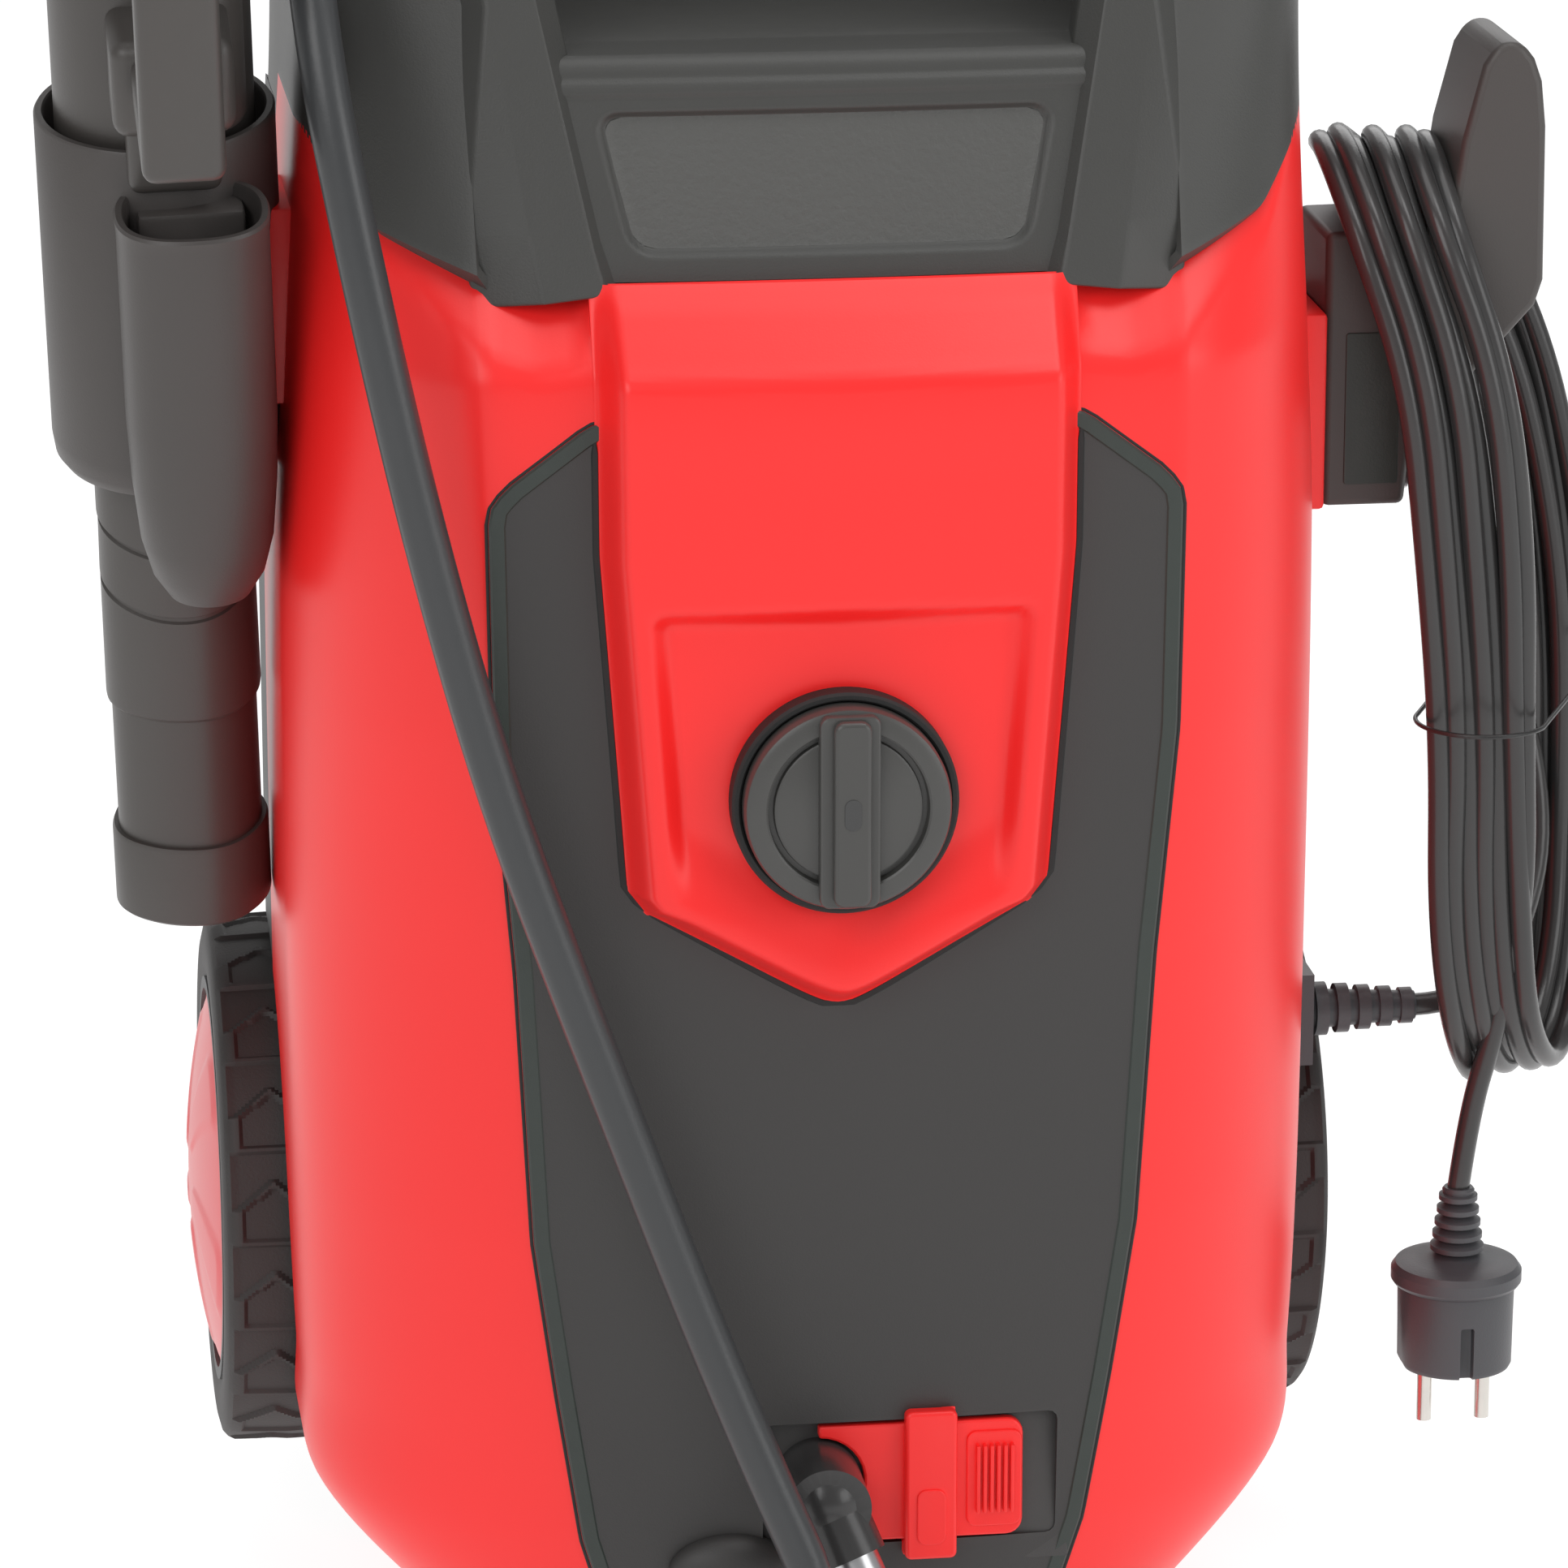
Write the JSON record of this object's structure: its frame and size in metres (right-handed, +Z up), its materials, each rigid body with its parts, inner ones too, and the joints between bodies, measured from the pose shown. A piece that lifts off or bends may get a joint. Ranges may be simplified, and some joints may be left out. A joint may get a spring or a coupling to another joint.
{
  "type": "pressure washer",
  "caption": "Upright electric pressure washer with a tall two-part shell, front selector knob, side wheels, pull-up handle, spray gun in a holder, coiled power cord and a high-pressure hose.",
  "frame": {"origin": "on the floor, in the middle of the machine's box without its cords and hose", "axes": "+Z up, -Y out of the front panel, +X towards the cord hook"},
  "size_m": [0.5015, 0.5428, 0.657],
  "materials": {
    "shell_red": "semi-gloss moulded plastic",
    "shell_black": "fine grained moulded plastic",
    "gun_black": "smooth moulded plastic",
    "knob_black": "satin",
    "foot_rubber": "matt",
    "tyre_black": "matt tread",
    "rim_black": "moulded",
    "cap_red": "semi-gloss",
    "steel": "plain steel",
    "tube_aluminium": "brushed",
    "brass": "machined",
    "inner_plastic": "moulded",
    "coupling_black": "glossy",
    "hose_black": "satin",
    "cord_black": "glossy",
    "pin_steel": "bright plated"
  },
  "bodies": {
    "housing": {"accessory_screws": "steel", "axle": "steel", "axle_clips": "steel", "base_tray": "shell_black", "capacitor": "inner_plastic", "cord_gland": "cord_black", "cord_hook": "shell_black", "front_panel": "shell_black", "front_shell": "shell_red", "gun_collar": "gun_black", "gun_half_left": "gun_black", "gun_half_right": "gun_black", "gun_holder": "shell_black", "gun_inlet": "brass", "hose_end": "coupling_black", "hose_ferrule": "steel", "hose_hook": "shell_black", "hose_lock_bridge": "shell_red", "housing_screws": "steel", "inlet_filter": "inner_plastic", "knob_seat": "knob_black", "motor_stator": "steel", "outlet_coupling": "coupling_black", "outlet_manifold": "tube_aluminium", "piston_spring_1": "steel", "piston_spring_2": "steel", "piston_spring_3": "steel", "plug_body": "cord_black", "plug_pins": "pin_steel", "power_cord_bundle": "cord_black", "power_cord_lead": "cord_black", "power_cord_tail": "cord_black", "pressure_hose": "hose_black", "pressure_hose_coil": "hose_black", "pressure_switch": "inner_plastic", "pump_head": "tube_aluminium", "rear_shell": "shell_black", "rotary_switch": "inner_plastic", "rubber_feet": "foot_rubber", "top_cover": "shell_black", "water_inlet": "brass"},
    "switch": {"switch_knob": "knob_black"},
    "left_wheel": {"tyre_left": "tyre_black", "rim_left": "rim_black", "hub_cap_left": "cap_red"},
    "right_wheel": {"tyre_right": "tyre_black", "rim_right": "rim_black", "hub_cap_right": "cap_red"},
    "rotor": {"motor_rotor": "steel", "cooling_fan": "inner_plastic", "wobble_plate": "steel"},
    "plunger_1": {"piston_1": "steel"},
    "plunger_2": {"piston_2": "steel"},
    "plunger_3": {"piston_3": "steel"},
    "handle": {"handle_tubes": "tube_aluminium", "handle_grip": "shell_black"},
    "release": {"handle_button": "shell_black"},
    "trigger": {"gun_trigger": "gun_black"},
    "safety": {"trigger_lock": "gun_black"},
    "hose_lock": {"hose_lock_slide": "shell_red"}
  },
  "joints": [
    {"name": "switch_turn", "type": "hinge", "parent": "housing", "child": "switch", "pos_m": [0, -0.152, 0.305], "axis": [0, 1, 0], "range_deg": [0, 90]},
    {"name": "left_wheel_spin", "type": "hinge", "parent": "housing", "child": "left_wheel", "pos_m": [-0.158, 0.07, 0.12], "axis": [1, 0, 0], "continuous": true},
    {"name": "right_wheel_spin", "type": "hinge", "parent": "housing", "child": "right_wheel", "pos_m": [0.158, 0.07, 0.12], "axis": [1, 0, 0], "continuous": true},
    {"name": "rotor_spin", "type": "hinge", "parent": "housing", "child": "rotor", "pos_m": [0, -0.01, 0.2325], "axis": [0, 0, 1], "continuous": true},
    {"name": "plunger_1_stroke", "type": "slide", "parent": "housing", "child": "plunger_1", "axis": [0, 0, -1], "range_m": [0, 0.008], "stiffness_N_per_m": 2500, "springref_m": -0.002, "deforming": ["piston_spring_1"]},
    {"name": "plunger_2_stroke", "type": "slide", "parent": "housing", "child": "plunger_2", "axis": [0, 0, -1], "range_m": [0, 0.008], "stiffness_N_per_m": 2500, "springref_m": -0.002, "deforming": ["piston_spring_2"]},
    {"name": "plunger_3_stroke", "type": "slide", "parent": "housing", "child": "plunger_3", "axis": [0, 0, -1], "range_m": [0, 0.008], "stiffness_N_per_m": 2500, "springref_m": -0.002, "deforming": ["piston_spring_3"]},
    {"name": "handle_draw", "type": "slide", "parent": "housing", "child": "handle", "axis": [0, 0, 1], "range_m": [0, 0.22]},
    {"name": "release_press", "type": "slide", "parent": "handle", "child": "release", "axis": [0, 0, -1], "range_m": [0, 0.004], "stiffness_N_per_m": 600, "springref_m": -0.001},
    {"name": "trigger_pull", "type": "hinge", "parent": "housing", "child": "trigger", "pos_m": [-0.19235, -0.09674, 0.58297], "axis": [-0.9994, 0.0079, -0.034], "range_deg": [0, 10], "stiffness_Nm_per_rad": 0.6, "springref_deg": -2.86},
    {"name": "safety_flip", "type": "hinge", "parent": "trigger", "child": "safety", "pos_m": [-0.19186, -0.14621, 0.55719], "axis": [0.9994, -0.0079, 0.034], "range_deg": [0, 80]},
    {"name": "hose_lock_slide", "type": "slide", "parent": "housing", "child": "hose_lock", "axis": [1, 0, 0], "range_m": [0, 0.009]}
  ]
}
